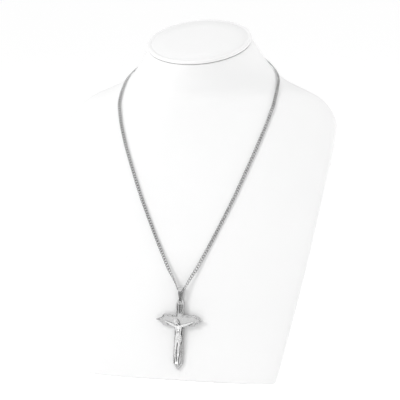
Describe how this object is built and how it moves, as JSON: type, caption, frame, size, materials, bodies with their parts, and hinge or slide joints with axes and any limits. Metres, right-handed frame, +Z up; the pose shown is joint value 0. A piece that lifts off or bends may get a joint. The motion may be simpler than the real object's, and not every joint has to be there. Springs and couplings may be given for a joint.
{
  "type": "crucifix pendant necklace on a neck bust",
  "caption": "Steel crucifix pendant with a raised figure and scalloped pointed arms, hung by a folded bail on a curb chain that a plain white neck bust wears.",
  "frame": {"origin": "centre of the bust's flat base, on the table", "axes": "+Z up, the chest and the cross face -Y, +X to the right of someone who looks at the chest"},
  "size_m": [0.2408, 0.1539, 0.2896],
  "materials": {
    "leatherette": "matte white leatherette",
    "chain_steel": "polished",
    "pendant_steel": "polished"
  },
  "bodies": {
    "display": {"bust_body": "leatherette", "neck_cap": "leatherette", "chain": "chain_steel", "clasp": "chain_steel"},
    "bail": {"bail": "pendant_steel"},
    "crucifix": {"cross_plate": "pendant_steel", "corpus": "pendant_steel"}
  },
  "joints": [
    {"name": "bail_swing", "type": "hinge", "parent": "display", "child": "bail", "pos_m": [0, -0.02418, 0.0731], "axis": [-1, 0, 0], "range_deg": [0, 110]},
    {"name": "crucifix_swing", "type": "hinge", "parent": "bail", "child": "crucifix", "pos_m": [0, -0.02643, 0.06397], "axis": [-1, 0, 0], "range_deg": [0, 10]}
  ]
}
